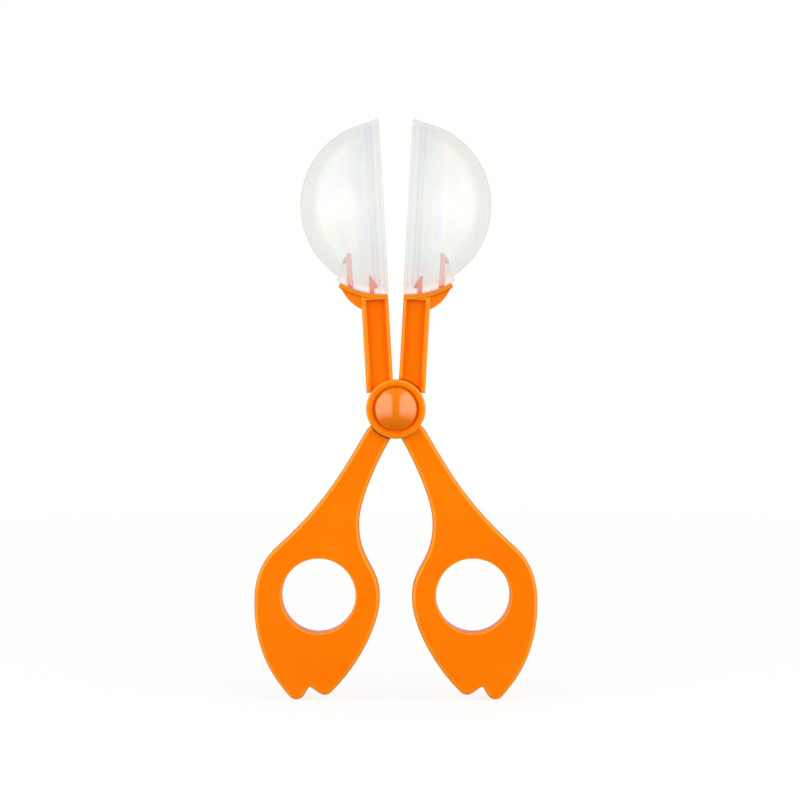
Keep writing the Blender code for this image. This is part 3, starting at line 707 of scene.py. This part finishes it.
def floor_material():
    """Pale floor that the camera sees as the white of the background, with the object's shadow."""
    made, tree, shader = new_material("white_floor")
    shader.inputs["Roughness"].default_value = 0.9
    shader.inputs["Specular IOR Level"].default_value = 0.0
    shader.inputs["Emission Color"].default_value = WARM_WHITE
    far = tree.nodes.new("ShaderNodeVectorMath")
    far.operation = "LENGTH"
    tree.links.new(coordinates(tree), far.inputs[0])
    glow = ranged(tree, far.outputs["Value"], *FLOOR_GLOW, *FLOOR_GLOW_SPAN)
    seen = tree.nodes.new("ShaderNodeLightPath").outputs["Is Camera Ray"]
    tree.links.new(product(tree, seen, glow), shader.inputs["Emission Strength"])
    tree.links.new(blended(tree, seen, FLOOR_BOUNCE, FLOOR_SEEN), shader.inputs["Base Color"])
    return made


def background(tree, strength):
    """World light of a constant or varying strength."""
    node = tree.nodes.new("ShaderNodeBackground")
    node.inputs["Color"].default_value = WARM_WHITE
    if isinstance(strength, float):
        node.inputs["Strength"].default_value = strength
    else:
        tree.links.new(strength, node.inputs["Strength"])
    return node.outputs["Background"]


def mirrored_studio(tree):
    """Brightness of the studio in reflections, by direction."""
    toward = separated(tree, coordinates(tree, "Generated"))
    panel = ranged(tree, computed(tree, "ABSOLUTE", toward["X"]), 0.0, 1.0, *PANEL_ASIDE)
    panel = product(tree, panel, ranged(tree, toward["Y"], 1.0, 0.0, *PANEL_BACK_END))
    panel = product(tree, panel, ranged(tree, toward["Z"], 1.0, 0.0, *PANEL_TOP))
    panel = product(tree, panel, ranged(tree, toward["Z"], 0.0, 1.0, *PANEL_FOOT))
    backdrop = ranged(tree, toward["Y"], GAP_LEVEL, BACKDROP_LEVEL, *BACKDROP_START)
    return total(tree, backdrop, product(tree, panel, PANEL_LEVEL))


def studio_world():
    """White to the camera and through clear plastic, an even fill for diffuse light, and the
    studio's panels and backdrop in reflections."""
    world = bpy.data.worlds.new("studio")
    bpy.context.scene.world = world
    world.use_nodes = True
    tree = world.node_tree
    tree.nodes.clear()
    ray = tree.nodes.new("ShaderNodeLightPath").outputs
    seen = mixed(tree, ray["Is Glossy Ray"], background(tree, FILL),
                 background(tree, mirrored_studio(tree)))
    seen = mixed(tree, ray["Is Transmission Ray"], seen, background(tree, 1.0))
    seen = mixed(tree, ray["Is Camera Ray"], seen, background(tree, 1.0))
    output = tree.nodes.new("ShaderNodeOutputWorld")
    tree.links.new(seen, output.inputs["Surface"])


def side_lamp(name, azimuth):
    """Area lamp aimed at the hinge; azimuth 0 stands behind the camera, positive to its right."""
    lamp = bpy.data.lights.new(name, "AREA")
    lamp.shape = "ELLIPSE"
    lamp.size = LAMP_SIZE
    lamp.size_y = LAMP_SIZE
    lamp.energy = LAMP_POWER
    made = bpy.data.objects.new(name, lamp)
    bpy.context.scene.collection.objects.link(made)
    across = math.radians(azimuth)
    up = math.radians(LAMP_ELEVATION)
    level = math.cos(up)
    direction = Vector((math.sin(across) * level, -math.cos(across) * level, math.sin(up)))
    made.location = HINGE + direction * LAMP_DISTANCE
    made.rotation_euler = direction.to_track_quat("Z", "Y").to_euler()
    made.visible_glossy = False


def floor():
    """Plain floor just under the object, left out of reflections."""
    mesh = bmesh.new()
    bmesh.ops.create_grid(mesh, x_segments=1, y_segments=1, size=FLOOR_HALF_SIZE)
    made = new_object("floor", mesh)
    made.location = (0.0, 0.0, CAD_BOX[0][2] - FLOOR_GAP)
    made.data.materials.append(floor_material())
    made.visible_glossy = False


def camera():
    """The front view."""
    lens = bpy.data.cameras.new("camera")
    lens.sensor_width = SENSOR_WIDTH
    lens.lens = SENSOR_WIDTH * CAMERA_DISTANCE / VIEW_WIDTH
    lens.clip_start = 0.01
    lens.clip_end = 20.0
    made = bpy.data.objects.new("camera", lens)
    bpy.context.scene.collection.objects.link(made)
    made.location = HINGE + Vector((CAMERA_SIDE, -CAMERA_DISTANCE, CAMERA_RISE))
    made.rotation_euler = (math.radians(90.0), 0.0, 0.0)
    bpy.context.scene.camera = made


def dress(node, surface):
    """Give a CAD node its finished material and smooth round faces."""
    piece = frame["nodes"][node]
    for slot in piece.material_slots:
        slot.material = surface
    smooth(piece, CAD_SMOOTHING)


def main():
    """Dress the frame, add the cups and set the studio."""
    orange = orange_plastic()
    clear = clear_plastic()
    dress("front_arm", orange)
    dress("rear_arm", orange)
    dress("pivot_cap", polished_orange())
    dress("pivot_screw", screw_steel())
    cup("left_clear_cup", "left_cup", FRONT_BODY, False, clear)
    cup("right_clear_cup", "right_cup", REAR_BODY, True, clear)
    floor()
    studio_world()
    side_lamp("left_panel", -LAMP_AZIMUTH)
    side_lamp("right_panel", LAMP_AZIMUTH)
    bpy.context.scene.cycles.transparent_max_bounces = TRANSPARENT_BOUNCES
    camera()
    bpy.context.scene.view_settings.view_transform = "Standard"


main()
